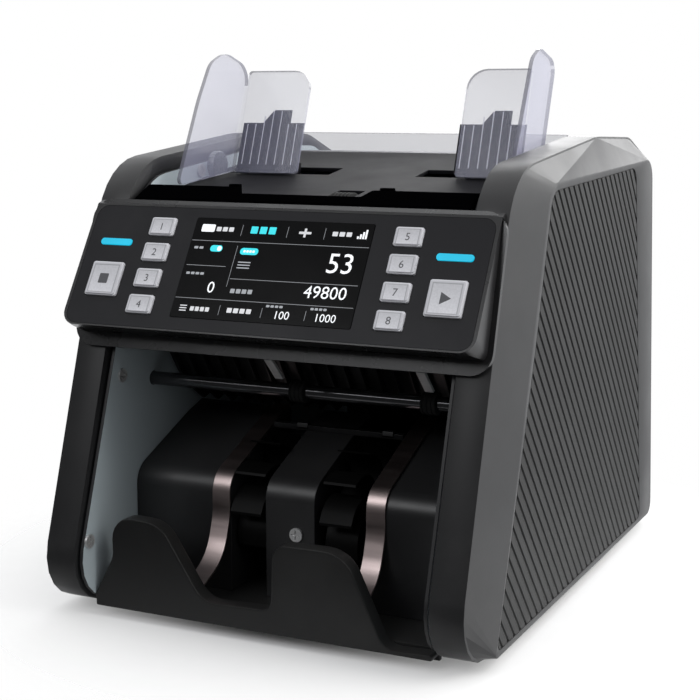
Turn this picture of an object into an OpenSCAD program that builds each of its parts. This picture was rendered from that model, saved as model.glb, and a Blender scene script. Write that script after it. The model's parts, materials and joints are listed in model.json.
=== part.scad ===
// Desktop banknote counting machine, built as separate named pieces.
// Millimetres. X runs across the machine, Y from front to rear, Z up.
// The origin lies under the middle of the machine, on the plane its feet rest on.

/* [Body] */
// Overall width across both side covers
body_w = 270; // [262:1:340]
// Overall depth from the front nose of the covers to the rear face
body_d = 345; // [330:1:420]
// Height of the side covers above the feet
cover_h = 267; // [256:1:330]
// Height of the rubber feet
foot_h = 3; // [2:0.5:10]
// Width of each side cover, measured across its flat front band
band_w = 19; // [16:0.5:24]
// How far the outer panel bulges beyond the front band
bulge = 8; // [3:0.5:10]
// Pitch of the slanted ribs on the outer panels
rib_pitch = 9.2; // [8:0.1:24]

/* [Control panel] */
// Width of the sloping face
face_w = 246; // [240:1:256]
// Height of the sloping face, measured along its slope
face_h = 76; // [75:0.5:92]
// Lean of the sloping face from the vertical, in degrees
face_lean = 31; // [26:0.5:33]
// Width of the display glass
screen_w = 110; // [80:1:118]
// Height of the display glass
screen_h = 60.5; // [44:0.5:62]
// Width of a small key
key_w = 16.2; // [12:0.2:18]
// Height of a small key
key_h = 11.2; // [9:0.2:12.4]
// Size of the two large square keys
big_key = 20.8; // [16:0.1:24]
// How far a key moves when it is pressed
key_travel = 1.2; // [0.6:0.1:1.6]

/* [Hopper] */
// Rise of the hopper floor for each millimetre of depth
floor_rise = 0.157; // [0.1:0.01:0.18]
// Height of the clear note guides above the hopper floor
guide_h = 62; // [40:1:80]
// Thickness of the clear plastic sheets
clear_t = 2.4; // [1.5:0.1:4]
// Radius of the pick-up roller
pick_r = 13; // [9:0.5:14]

/* [Stacker] */
// Radius of the stacker wheels at the tips of their blades
wheel_r = 37; // [30:0.5:39]
// Width of a stacker wheel
wheel_w = 20; // [12:0.5:20.4]
// Number of blades on a stacker wheel
blade_n = 10; // [6:1:14]
// Height of the fence humps above the underside of the base
fence_h = 56; // [46:0.5:66]

/* [Hidden] */
$fn = 48;
lean = 0.31;                     // lean of the cover front for each millimetre of height
cover_low = 3;                   // lower edge of the covers and the fence
front_c = -27.5;                 // where that front line meets the underside
front_r = 29;                    // radius of the lower front corner of the covers
// How far the rounded nose of the covers stands ahead of the fence line
nose = -front_c - lean * cover_low - front_r * (lean + sqrt(1 + lean * lean) - 1);
rear_y = body_d - nose;          // rear face, measured from the fence line
band_out = body_w / 2 - bulge;   // outer edge of the flat front band
band_in = band_out - band_w;     // inner edge of the flat front band
gap = 1.8;                       // gap between a side frame and its cover
sheet = 2;                       // side frame sheet thickness
frame_out = band_in - gap;
frame_in = frame_out - sheet;    // clear width inside the frames, one side
up = cover_h - 267;              // the upper parts move up with the covers
back = lean * up;                // and back with their leaning front
wall_y = 64 + back;              // rear face of the hopper's front wall
hop_z = 232 + up;                // height of the hopper floor at that wall
floor_t = 2.5;
pick_y = 84 + back;
pick_proud = 1.4;                // how far the pick-up roller stands above the floor
fit = 0.3;                       // clearance between neighbouring curved parts
run = 0.05;                      // radial running fit of the shafts
grip = 0.02;                     // radial fit of a hub fixed on its shaft
shaft_r = 4;
arc_n = 6;                       // segments in a rounded corner

function unit(v) = v / norm(v);
function turn(a, b) = (b - a + 540) % 360 - 180;
function arc(c, r, a, d) = [for (i = [0 : arc_n]) c + r * [cos(a + d * i / arc_n), sin(a + d * i / arc_n)]];
function corner(p, q, s, r) =
    let (a = unit(p - q), b = unit(s - q), h = acos(a * b) / 2)
    let (c = q + unit(a + b) * r / sin(h), e = q + a * r / tan(h) - c, f = q + b * r / tan(h) - c)
    let (g = atan2(e.y, e.x))
    r <= 0 ? [q] : arc(c, r, g, turn(g, atan2(f.y, f.x)));
// Points given as [across, up, corner radius]
function rounded(v) = [for (i = [0 : len(v) - 1])
    let (n = len(v), p = v[(i + n - 1) % n], q = v[i], s = v[(i + 1) % n])
    each corner([p.x, p.y], [q.x, q.y], [s.x, s.y], q.z)];
function front_y(z) = front_c + lean * z;
function floor_z(y) = hop_z + floor_rise * (y - wall_y);
pick_z = floor_z(pick_y) + pick_proud - pick_r;

// Every piece is drawn from the fence line and the underside of the base
module seat() translate([0, nose - body_d / 2, foot_h]) children();
// A side-view shape given as [depth, height], pushed from x0 to x1
module slab(x0, x1, v) translate([x0, 0, 0]) rotate([90, 0, 90]) linear_extrude(x1 - x0) polygon(v);
// A front-view shape given as [across, height], pushed from y0 to y1
module plate(y0, y1, v) translate([0, y1, 0]) rotate([90, 0, 0]) linear_extrude(y1 - y0) polygon(v);
module box(x0, x1, y0, y1, z0, z1) translate([x0, y0, z0]) cube([x1 - x0, y1 - y0, z1 - z0]);
module rod(x0, x1, y, z, r) translate([x0, y, z]) rotate([0, 90, 0]) cylinder(h = x1 - x0, r = r);
module other() mirror([1, 0, 0]) children();

// ---- side covers -------------------------------------------------------
cover_line = [[front_y(cover_low), cover_low, front_r], [front_y(cover_h - 14.5), cover_h - 14.5, 45],
    [196, cover_h, 150], [rear_y - 60, cover_h - 2, 40], [rear_y, cover_h - 23, 15],
    [rear_y, cover_low, 12]];
bulge_line = [[7, cover_low + 2.5, 3], [61, cover_h - 110, 200], [86, cover_h - 23, 16],
    [rear_y - 30, cover_h - 17, 14], [rear_y - 14, cover_low + 1.5, 8]];
panel_line = [[9.5, cover_low + 5.5, 4], [64, cover_h - 110, 200], [90, cover_h - 27, 14],
    [rear_y - 70, cover_h - 21, 10], [rear_y - 43, cover_low + 4.5, 6]];
inner_line = [[front_c + 13, 10, 30], [front_y(cover_h - 25) + 12, cover_h - 25, 38],
    [193, cover_h - 10, 100], [rear_y - 63, cover_h - 12, 30], [rear_y - 8, cover_h - 32, 10],
    [rear_y - 8, 10, 8]];
rib_deep = 2.6;                  // depth of the recess that holds the ribbed panel
rib_sheet = 1.4;                 // thickness of the panel under its ribs
rib_t = rib_pitch * 0.5;
rib_slant = 40;
rib_reach = 900;                 // long enough to cross the whole panel
cover_wall = 3;
cover_step = 1.2;                // step between the front band and the bulge
// The same outline made smaller by d all round
function shrunk(line, d) = [for (p = line) [p.x + d * sign(150 - p.x), p.y - d * sign(p.y - 100), p.z]];

module side_cover() difference() {
    union() {
        slab(band_in, band_out, rounded(cover_line));
        hull() {
            slab(band_out - 0.5, band_out, rounded(shrunk(cover_line, cover_step)));
            slab(band_out, body_w / 2, rounded(bulge_line));
        }
    }
    slab(body_w / 2 - rib_deep, body_w / 2 + 1, rounded(panel_line));
    slab(band_in - 1, band_out - cover_wall, rounded(inner_line));
}

module ribs() intersection() {
    polygon(rounded(shrunk(panel_line, 2 * fit)));
    for (i = [-30 : 34]) translate([150 + i * rib_pitch, 120]) rotate(rib_slant)
        square([rib_t, rib_reach], center = true);
}

module rib_panel() {
    slab(body_w / 2 - rib_deep, body_w / 2 - rib_deep + rib_sheet, rounded(shrunk(panel_line, fit)));
    translate([body_w / 2 - rib_deep + rib_sheet, 0, 0]) rotate([90, 0, 90])
        linear_extrude(rib_deep - rib_sheet - 0.1) ribs();
}

// ---- frames, base and rear --------------------------------------------
screw_spots = [[front_y(131) + 15, 131], [front_y(42) + 7, 42], [117, cover_h - 21.6]];
screw_r = 4;
screw_high = 1.4;
cross_w = 1;
cross_l = 5.2;
frame_line = [[front_c + 4, 5, 26], [front_y(cover_h - 24) + 6, cover_h - 24, 38], [196, cover_h - 8, 100],
    [rear_y - 60, cover_h - 10, 30], [rear_y - 7, cover_h - 31, 10], [rear_y - 7, 5, 8]];
module side_frame(bores) difference() {
    slab(frame_in, frame_out, rounded(frame_line));
    for (s = bores) rod(frame_in - 1, frame_out + 1, s.x, s.y, shaft_r + run);
}
// Cross-head screw with its head towards +Z, seated on the plane z = 0
module screw_head() difference() {
    cylinder(h = screw_high, r = screw_r);
    translate([-cross_l / 2, -cross_w / 2, screw_high - 0.8]) cube([cross_l, cross_w, 1]);
    translate([-cross_w / 2, -cross_l / 2, screw_high - 0.8]) cube([cross_w, cross_l, 1]);
}
module frame_screws(spots) for (s = spots)
    translate([frame_in, s.x, s.y]) rotate([0, -90, 0]) screw_head();

tray_z = 4;
tray_t = 3;
tray_front = 8;
module base_tray_shape() difference() {
    union() {
        box(-frame_in, frame_in, tray_front, rear_y - 6, tray_z, tray_z + tray_t);
        box(-frame_in, frame_in, tray_front, tray_front + 3, 0, tray_z);
        box(-frame_in, frame_in, rear_y - 9, rear_y - 6, 0, tray_z);
        for (x = [-1, 1]) for (y = foot_y)
            translate([x * foot_x, y, 0]) cylinder(h = tray_z, r = foot_r + 2);
    }
    for (x = [-1, 1]) for (y = foot_y) translate([x * foot_x, y, -1])
        cylinder(h = tray_z, r = foot_peg_r + run);
}

foot_r = 8;
foot_peg_r = 3;
foot_x = frame_in - 14;
foot_y = [26, rear_y - 24];
module feet_shape() for (x = [-1, 1]) for (y = foot_y) translate([x * foot_x, y, 0]) {
    translate([0, 0, -foot_h]) cylinder(h = foot_h, r1 = foot_r - 1, r2 = foot_r);
    cylinder(h = tray_z - 1.2, r = foot_peg_r);
}

rear_t = 3;
rear_top = cover_h - 33;
// Opening through the rear cover: middle, width and height
module rear_hole(x, z, w, h) box(x - w / 2, x + w / 2, rear_y - 8, rear_y, z - h / 2, z + h / 2);
module rear_cover_shape() difference() {
    box(-band_in, band_in, rear_y - 4, rear_y - 4 + rear_t, tray_z, rear_top);
    rear_hole(inlet_x, inlet_z, inlet_w, inlet_h);
    rear_hole(switch_x, inlet_z, switch_w, switch_h);
    for (i = [0 : vent_n - 1]) rear_hole(0, vent_z + i * vent_pitch, vent_w, vent_h);
}
vent_n = 7;
vent_w = 90;
vent_h = 3;
vent_pitch = 8;
vent_z = 120;

inlet_x = -62;
inlet_z = 46;
inlet_w = 27;
inlet_h = 20;
inlet_pins = [[-7, -2], [7, -2], [0, 2]];
bezel = 3;                       // how far a bezel overlaps the rear cover
snug = 0.2;                      // clearance of a snapped-in body in its opening
inlet_socket = [[-12, -8, 1], [12, -8, 1], [12, 4, 1], [8, 8, 1], [-8, 8, 1], [-12, 4, 1]];
module snap_in(x, z, w, h, rim) {
    box(x - w / 2 - rim, x + w / 2 + rim, rear_y - 1, rear_y, z - h / 2 - rim, z + h / 2 + rim);
    box(x - w / 2 + snug, x + w / 2 - snug, rear_y - 24, rear_y - 1, z - h / 2 + snug, z + h / 2 - snug);
}
module power_inlet_shape() {
    difference() {
        snap_in(inlet_x, inlet_z, inlet_w, inlet_h, bezel);
        translate([inlet_x, 0, inlet_z]) plate(rear_y - 18, rear_y + 1, rounded(inlet_socket));
    }
    for (p = inlet_pins) translate([inlet_x + p.x, 0, inlet_z + p.y])
        box(-1, 1, rear_y - 18, rear_y - 3, -2.2, 2.2);
}

switch_x = -28;
switch_w = 13;
switch_h = 19;
rocker_y = rear_y - 11;
rocker_tilt = 8;                 // the rocker rests tilted this far, at one of its stops
rocker_w = switch_w - 3.6;
pivot_r = 1.5;
pivot_w = rocker_w + 1.4;
rocker_side = [[-2.5, -2.5], [10, -6.6], [9.4, 0], [10, 6.6], [-2.5, 2.5]];
module switch_body_shape() difference() {
    snap_in(switch_x, inlet_z, switch_w, switch_h, 2);
    translate([switch_x, 0, inlet_z])
        box(-rocker_w / 2 - fit, rocker_w / 2 + fit, rear_y - 20, rear_y + 1, -8.3, 8.3);
    rod(switch_x - pivot_w / 2 - fit, switch_x + pivot_w / 2 + fit, rocker_y, inlet_z, pivot_r + run);
}
module rocker() translate([switch_x, rocker_y, inlet_z]) rotate([rocker_tilt, 0, 0]) {
    rod(-pivot_w / 2, pivot_w / 2, 0, 0, pivot_r);
    slab(-rocker_w / 2, rocker_w / 2, rocker_side);
}

// ---- front fence and stacker bed ---------------------------------------
fence_front = -2.5;
fence_back = 7.5;
fence_end = frame_in - 0.1;
fence_line = [[-fence_end, cover_low, 0], [fence_end, cover_low, 0], [fence_end, 6.5, 1.5], [77, 5.5, 10],
    [54, fence_h - 2, 20], [11, fence_h - 2.5, 9], [9.5, 16.5, 6], [-33, 15, 15], [-60, fence_h, 19],
    [-92.5, fence_h + 1, 13], [-92, 33, 12], [-fence_end, 11, 0]];
module fence_shape() plate(fence_front, fence_back, rounded(fence_line));

bed_front = 40.5;
bed_top = 73;
bed_back = 114;
bed_wall = 2.5;
bed_bottom = tray_z + tray_t;
mid_x = [-17, 14.5];             // sides of the middle block
chan_x = [-39.5, 47];            // outer sides of the two wheel channels
strip_w = 11.5;
bed_line = [[bed_front, bed_bottom, 0], [bed_front, bed_top, 14], [98, 97, 40], [bed_back, 102, 0],
    [bed_back, bed_bottom, 0]];
bed_inner = [[bed_front + bed_wall, bed_bottom - 1, 0], [bed_front + bed_wall, bed_top - 1.6, 12],
    [98, 94.2, 40], [bed_back + 1, 99.6, 0], [bed_back + 1, bed_bottom - 1, 0]];
module bed_block(x0, x1) difference() {
    slab(x0, x1, rounded(bed_line));
    slab(x0 + bed_wall, x1 - bed_wall, rounded(bed_inner));
    rod(x0 - 1, x1 + 1, stack_y, stack_z, shaft_r + 1.5);
}
// Metal strip that follows the bed, then curves forward under the notes
strip_line = [[10, 18.8, 0], [32.4, 28.5, 28], [bed_front - 0.2, 52, 30],
    [bed_front - 0.2, bed_top + 0.6, 14.3], [98, 97.6, 40],
    [bed_back, 102.5, 0], [bed_back, 103.7, 0], [98, 98.9, 40],
    [bed_front - 1.5, bed_top + 1.4, 15.5], [bed_front - 1.5, 52.4, 31], [31.4, 29.8, 27], [9.6, 20.1, 0]];
module bed_screw() translate([3, bed_front, 46]) rotate([90, 0, 0]) screw_head();

stack_y = 75;
stack_z = 57;
hub_r = 13;
blade_t = 1.6;
blade_sweep = 38;                // how far a blade trails behind its root, in degrees
blade_steps = 8;
blade_root = hub_r - 1;
function blade_at(t, thick) = let (r = blade_root + (wheel_r - blade_root) * t)
    let (a = blade_sweep * t * t + thick / r * 180 / PI)
    r * [cos(a), sin(a)];
blade = concat([for (i = [0 : blade_steps]) blade_at(i / blade_steps, 0)],
    [for (i = [blade_steps : -1 : 0]) blade_at(i / blade_steps, blade_t)]);
module wheel(x) difference() {
    translate([x - wheel_w / 2, stack_y, stack_z]) rotate([90, 0, 90]) linear_extrude(wheel_w) union() {
        circle(r = hub_r);
        for (i = [0 : blade_n - 1]) rotate(i * 360 / blade_n) polygon(blade);
    }
    rod(x - wheel_w, x + wheel_w, stack_y, stack_z, shaft_r + grip);
}
wheel_x = 28.5;

// ---- drive -------------------------------------------------------------
pulley_r = 10;
motor_pulley_r = 7;
pulley_w = 8;
pulley_x = -frame_out - 11;
motor_y = 178;
motor_z = 120;
motor_r = 24;
motor_len = 56;
belt_t = 1.5;
belt_w = 6;
back_r = 5.6;                    // pulley turned by the back of the belt
// The exit shaft stands just ahead of the straight front run of the belt
exit_z = 124;
belt_lean = (pick_y - stack_y) / (pick_z - stack_z);
exit_y = stack_y + belt_lean * (exit_z - stack_z) - pulley_r - belt_t - back_r - 2 * fit;
shafts = [[stack_y, stack_z], [pick_y, pick_z], [exit_y, exit_z]];
belt_turns = [[stack_y, stack_z, pulley_r], [pick_y, pick_z, pulley_r], [motor_y, motor_z, motor_pulley_r]];
module pulley(y, z, r) difference() {
    rod(pulley_x, pulley_x + pulley_w, y, z, r);
    rod(pulley_x - 1, pulley_x + pulley_w + 1, y, z, shaft_r + grip);
}
module long_shaft(y, z) rod(pulley_x - 1, frame_out + 3, y, z, shaft_r);
module belt_loop(extra) hull() for (p = belt_turns) translate([p.x, p.y]) circle(r = p.z + extra);
module belt() translate([pulley_x + 1, 0, 0]) rotate([90, 0, 90]) linear_extrude(belt_w) difference() {
    belt_loop(fit + belt_t);
    belt_loop(fit);
}
module motor_shape() difference() {
    union() {
        rod(-frame_in, -frame_in + 3, motor_y, motor_z, motor_r + 5);
        rod(-frame_in, -frame_in + motor_len, motor_y, motor_z, motor_r);
        rod(-frame_in + motor_len, -frame_in + motor_len + 3, motor_y, motor_z, motor_r - 9);
    }
    rod(-frame_in - 1, -frame_in + 12, motor_y, motor_z, shaft_r + run);
}

// ---- note path under the panel -----------------------------------------
lip_z = 149 + up;
path_w = frame_in - fit;
rib_n = 20;
rib_step = (2 * path_w - 10) / (rib_n - 1);
path_line = [[70, lip_z - 1], [89.5, 120.5], [bed_back - 0.5, bed_back - 8.5],
    [bed_back + 1.5, bed_back - 7.2],
    [92, 122], [72.7, lip_z - 1]];
path_rib = [[66, lip_z - 1], [85.5, 119], [bed_back - 6, 103.6], [bed_back - 0.5, bed_back - 8.5],
    [89.5, 120.5], [70, lip_z - 1]];
module exit_guide_shape() {
    slab(-path_w, path_w, path_line);
    for (i = [0 : rib_n - 1]) translate([4 - path_w + i * rib_step, 0, 0]) slab(0, 2, path_rib);
}
roller_x = [-5, 76.5];
roller_r = 6.5;
roller_w = 9;
module exit_roller(x) difference() {
    rod(x - roller_w / 2, x + roller_w / 2, exit_y, exit_z, roller_r);
    rod(x - roller_w, x + roller_w, exit_y, exit_z, shaft_r + grip);
}
// Small arms held behind the lower edge of the control panel
arm_x = [-2, 88];
arm_line = [[front_y(lip_z + 1), lip_z + 1], [front_y(lip_z + 7), lip_z + 7],
    [front_y(lip_z + 7) + 2.4, lip_z + 7], [front_y(lip_z) + 2.6, lip_z],
    [front_y(lip_z) + 14.31, lip_z - 12], [front_y(lip_z) + 12.31, lip_z - 12.6],
    [front_y(lip_z) + 0.2, lip_z - 0.5]];
// Bar across the bed that carries the two note sensors
sensor_x = [-19, 37];
bar_line = [[90, 93.9], [94.5, 95.7], [94.5, 97.3], [90, 97]];
window_line = [[89, 95.8], [90, 94.8], [90, 97], [93, 97.2], [93, 98.7], [89.6, 98.2]];
module sensor_bar() {
    slab(chan_x[0] + 0.7, chan_x[1] - 0.7, bar_line);
    for (x = sensor_x) slab(x - 3.5, x + 3.5, window_line);
}

// ---- control panel -----------------------------------------------------
face_y = 6 + back;
face_z = 174.5 + up;
face_s0 = -12;
face_s1 = face_s0 + face_h;
lean_deg = atan(lean);
flange_t = 3;
flange_w = band_out + 1;
face_t = 1.6;
skin = 3;
// Side-view point s up the face and n out of it
function on_slope(s, n) = [face_y + s * sin(face_lean) - n * cos(face_lean),
    face_z + s * cos(face_lean) + n * sin(face_lean)];
module on_face() translate([0, face_y, face_z]) rotate([90 - face_lean, 0, 0]) children();
module on_front() translate([0, front_c, 0]) rotate([90 - lean_deg, 0, 0]) children();
module tile(x0, x1, y0, y1, z0, z1, r) translate([0, 0, z0]) linear_extrude(z1 - z0)
    polygon(rounded([[x0, y0, r], [x1, y0, r], [x1, y1, r], [x0, y1, r]]));
flange_s0 = lip_z / cos(lean_deg);
panel_top = 231 + up;
panel_low = 157 + up;
flange_s1 = panel_top / cos(lean_deg);
window_w = face_w - 12;
wedge_w = face_w / 2 + 2;
// Side view of the raised box behind the face, t thinner all round
function wedge(t) = [on_slope(face_s0 + t, -t), on_slope(face_s1 - t, -t),
    [front_y(panel_top) - fit + 2 * t, panel_top - t],
    [front_y(panel_low) - fit + 2 * t, panel_low + t * 0.9]];
module panel_housing_shape() difference() {
    union() {
        on_front() difference() {
            tile(-flange_w, flange_w, flange_s0, flange_s1, fit, fit + flange_t, 12);
            tile(-band_in + 2, band_in - 2, flange_s0 + 8, flange_s1 - 6, -1, 5, 4);
        }
        difference() {
            intersection() {
                slab(-wedge_w, wedge_w, wedge(0));
                on_face() tile(-wedge_w, wedge_w, face_s0 - 0.1, face_s1 + 12, -90, 1, 9);
            }
            slab(-wedge_w + skin, wedge_w - skin, wedge(skin));
        }
    }
    on_face() tile(-face_w / 2, face_w / 2, face_s0 + 1, face_s1 - 1, -face_t, 5, 7);
    on_face() tile(-window_w / 2, window_w / 2, face_s0 + 5, face_s1 - 5, -skin - 4, 5, 3);
}
key_gap = 0.35;
col_x = face_w * 0.3085;
end_x = face_w * 0.423;
row_s = face_h * 0.2094;
row_0 = 2.5;
big_s = row_0 + row_s * 0.88;
light_s = row_0 + row_s * 2.35;
light_h = 4;
screen_s = (row_0 * 2 + row_s * 3) / 2 + 0.4;
screen_gap = 0.2;
module at_key(x, s) on_face() translate([x, s, 0]) children();
module key_hole(w, h)
    tile(-w / 2 - key_gap, w / 2 + key_gap, -h / 2 - key_gap, h / 2 + key_gap, -5, 5, 1.6);
module panel_face_shape() difference() {
    on_face() tile(-face_w / 2 + 0.2, face_w / 2 - 0.2, face_s0 + 1.2, face_s1 - 1.2, -face_t, 0, 6.8);
    for (x = [-1, 1]) {
        for (i = [0 : 3]) at_key(x * col_x, row_0 + i * row_s) key_hole(key_w, key_h);
        at_key(x * end_x, big_s) key_hole(big_key, big_key);
        at_key(x * end_x, light_s) key_hole(big_key - 0.4, light_h - 0.4);
    }
    on_face() tile(-screen_w / 2 - screen_gap, screen_w / 2 + screen_gap,
        screen_s - screen_h / 2 - screen_gap, screen_s + screen_h / 2 + screen_gap, -5, 5, 1.2);
}
key_high = 1.8;
key_lip = 0.8;
module key(w, h) union() {
    tile(-w / 2, w / 2, -h / 2, h / 2, -face_t - 0.1 - key_lip, key_high - 0.7, 1.4);
    tile(-w / 2 + 0.7, w / 2 - 0.7, -h / 2 + 0.7, h / 2 - 0.7, key_high - 0.7, key_high, 1.2);
    tile(-w / 2 - 1, w / 2 + 1, -h / 2 - 1, h / 2 + 1, -face_t - 0.1 - key_lip, -face_t - 0.1, 1.8);
}
module small_key(side, row) at_key(side * col_x, row_0 + row * row_s) key(key_w, key_h);
module large_key(side) at_key(side * end_x, big_s) key(big_key, big_key);
module light_bar(side) at_key(side * end_x, light_s)
    tile(-big_key / 2, big_key / 2, -light_h / 2, light_h / 2, -face_t, 0.5, light_h * 0.45);
screen_bottom = screen_s - screen_h / 2;
screen_top = screen_s + screen_h / 2;
module screen_glass() on_face()
    tile(-screen_w / 2, screen_w / 2, screen_bottom, screen_top, -face_t, 0.3, 1.2);
module screen_back() on_face() {
    tile(-screen_w / 2 - 2, screen_w / 2 + 2, screen_bottom + 1, screen_top - 1, -face_t - 4.2, -face_t, 1);
    tile(-30, 30, screen_s - 18, screen_s + 18, -face_t - 7.2, -face_t - 4.2, 1);
}
board_t = 1.6;
board_top = -face_t - 0.1 - key_lip - key_travel - 0.5;
// The board ends below the panel's top edge, or where its back would meet the front of the covers
board_gap = 0.2;
board_low = face_s0 + 6;
board_end = min(face_s1 - 6, (front_y(face_z) - face_y - board_gap + (board_top - board_t)
    * (cos(face_lean) + lean * sin(face_lean))) / (sin(face_lean) - lean * cos(face_lean)));
post_r = 2;                      // posts between the keys hold the board to the face
post_x = (col_x + key_w / 2 + end_x - big_key / 2) / 2;
module right_board() on_face() {
    tile(screen_w / 2 + 4, window_w / 2, board_low, board_end, board_top - board_t, board_top, 2);
    for (s = [board_low + 4, board_end - 4]) translate([post_x, s, board_top])
        cylinder(h = -face_t - board_top, r = post_r);
}

// ---- hopper ------------------------------------------------------------
hop_back = 210 + back;
notch_x = [-43, 35];
bump_x = [[-50, -43], [45.5, 53.5]];
slot_y = [137 + back, 157 + back];
slot_x = [[-97, -25], [33, 102]];
pick_slot_x = [4, 20];
boss_r = 9;
boss_y = 134 + back;
boss_z = hop_z + 16;
boss_len = 4.5;
pick_half = sqrt(pick_r * pick_r - pow(pick_r - pick_proud - floor_t, 2)) + 1.8;
wall_top = hop_z + 7.5;
wall_line = [[front_y(hop_z - 3) + 0.4, hop_z - 3], [front_y(hop_z - 3) + 3, hop_z + 1],
    [wall_y - 4, wall_top],
    [wall_y - 0.2, wall_top], [wall_y - 0.2, hop_z - 4],
    [wall_y - 6, hop_z - 6]];
notch_line = [[notch_x[0], wall_top + 3.5], [notch_x[0], hop_z + 2.6], [notch_x[1], hop_z + 2.6],
    [notch_x[1] + 10, wall_top + 3.5]];
floor_line = [[wall_y, floor_z(wall_y)], [hop_back, floor_z(hop_back)],
    [hop_back, floor_z(hop_back) - floor_t], [wall_y, floor_z(wall_y) - floor_t]];
module hopper_front_shape() difference() {
    union() {
        slab(-frame_in, frame_in, wall_line);
        for (b = bump_x) box(b[0], b[1], wall_y - 3.5, wall_y - 0.2, wall_top, wall_top + 1.5);
    }
    plate(wall_y - 10, wall_y + 1, notch_line);
}
module floor_hole(x0, x1, y0, y1) box(x0, x1, y0, y1, hop_z - 10, hop_z + 40);
module hopper_floor_shape() difference() {
    slab(-frame_in, frame_in, floor_line);
    for (s = slot_x) floor_hole(s[0], s[1], slot_y[0], slot_y[1]);
    floor_hole(pick_slot_x[0], pick_slot_x[1], pick_y - pick_half, pick_y + pick_half);
    floor_hole(-frame_in - 1, -frame_in + boss_len + fit, boss_y - boss_r - fit, boss_y + boss_r + fit);
}
top_t = 2.5;
top_z = floor_z(hop_back) - floor_t;
deck = top_z + 1.5;              // flat part of the top cover
top_line = [[hop_back + 0.2, deck], [rear_y - 70, deck], [rear_y - 1, rear_top + 2], [rear_y - 1, rear_top],
    [rear_y - 7, rear_top], [rear_y - 71, deck - top_t], [hop_back + 0.2, deck - top_t]];
module clear_strip()
    box(-frame_in + 1, frame_in - 1, hop_back + 2, hop_back + 2 + clear_t, deck, deck + 13.5);
module feed_roller() difference() {
    rod(pick_slot_x[0] + 1.5, pick_slot_x[1] - 1.5, pick_y, pick_z, pick_r);
    rod(pick_slot_x[0], pick_slot_x[1], pick_y, pick_z, shaft_r + grip);
}
rail_y = 147 + back;
rail_z = hop_z + 1;
rail_r = 4;
base_h = 246 + up;
function lift(z) = base_h + (z - 246) * guide_h / 62;
plate_lean = 0.36;
plate_y = 128 + back;
function plate_at(z) = plate_y + plate_lean * (z - hop_z - 6);
plate_top = lift(307);
plate_low = floor_z(plate_y + 4) + 1.5;
plate_len = (plate_top - plate_low) / cos(atan(plate_lean));
module back_plate(x0, x1, r0, r1) translate([0, plate_at(plate_low), plate_low])
    rotate([90 - atan(plate_lean), 0, 0]) translate([0, 0, -clear_t]) linear_extrude(clear_t)
    polygon(rounded([[x0, 0, 2], [x1, 0, 2], [x1, plate_len, r1], [x0, plate_len, r0]]));
// A wing outline drawn for the standard height, with its low corners laid over the sloping floor
function wing(low, line) = [for (p = concat([low[0]], line, [low[1]]))
    [p.x + back, p.y < 20 ? floor_z(p.x + back) + p.y : lift(p.y), p.z]];
wing_l = wing([[68, 6, 3], [133, 1.8, 3]], [[92.5, 288, 120], [107, 311, 16], [124, 318, 20],
    [146, 311, 14], [152, 302.7, 10], [139, 267, 40]]);
wing_r = wing([[114, 6.14, 3], [165, 2, 3]], [[148, 313, 12], [161, 319, 10], [189, 311, 8]]);
guide_lx = [-91, -44];
guide_rx = [61, 103];
seam = 0.01;                     // the two leaves of a clear guide are moulded in one
module left_clear() {
    slab(guide_lx[0], guide_lx[0] + clear_t, rounded(wing_l));
    back_plate(guide_lx[0] + clear_t - seam, guide_lx[1], 2, 12);
}
module right_clear() {
    slab(guide_rx[1] - clear_t, guide_rx[1], rounded(wing_r));
    back_plate(guide_rx[0], guide_rx[1] - clear_t + seam, 12, 2);
}
fin_n = 3;
fin_pitch = 5.8;
fin_w = 0.8;
fin_deep = 1.2;                  // depth of the grooves in the front of a bracket
brace_d = 11;
brace_lx = -68;
brace_rx = 79;
brace_low = floor_z(plate_y + 18) + 1.2;
brace_blocks = [[-20, -6, 274.5], [-6 - seam, 9, 282.5], [9 - seam, 19, 274.5]];
// Side view of a bracket block that reaches up to z
function brace(z) = [[plate_at(brace_low) + clear_t + fit, brace_low], [plate_at(z) + clear_t + fit, z],
    [plate_at(z) + brace_d, z], [plate_at(brace_low) + brace_d, brace_low]];
fin_low = brace_low + 3;
fin_high = lift(290);
fin_line = [[plate_at(fin_low) + clear_t, fin_low], [plate_at(fin_high) + clear_t, fin_high],
    [plate_at(fin_high) + clear_t + fit + fin_deep, fin_high],
    [plate_at(fin_low) + clear_t + fit + fin_deep, fin_low]];
// Bracket behind a clear guide, with its foot through the floor slot and round the rail
module bracket() difference() {
    union() {
        for (b = brace_blocks) slab(b[0], b[1], brace(lift(b[2])));
        box(-15, 15, slot_y[0] + 3, slot_y[1] - 3, rail_z - 7, floor_z(slot_y[0]) + 6);
    }
    rod(-16, 16, rail_y, rail_z, rail_r + run);
    plate(plate_y, plate_y + 50, [[-6.1, lift(274.5)], [1, lift(283)], [-6.1, lift(283)]]);
    for (i = [-fin_n : fin_n]) slab(i * fin_pitch, i * fin_pitch + fin_w, fin_line);
}

// ---- boards ------------------------------------------------------------
board_x = frame_in - 8;
board_face = 1.6;
module main_board_shape() {
    box(board_x, board_x + board_face, 150, 290, 70, 180);
    for (y = [156, 284]) for (z = [76, 174]) rod(board_x + board_face, frame_in, y, z, 3);
    box(board_x - 4, board_x, 190, 215, 110, 135);
    box(board_x - 8, board_x, 240, 280, 85, 100);
    box(board_x - 6, board_x, 160, 172, 80, 120);
}
supply_top = 52;
module power_supply_shape() difference() {
    box(10, 90, 210, rear_y - 30, tray_z + tray_t, supply_top);
    for (i = [0 : 5]) box(16 + i * 12, 22 + i * 12, 216, rear_y - 36, supply_top - 2, supply_top + 1);
}

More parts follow.
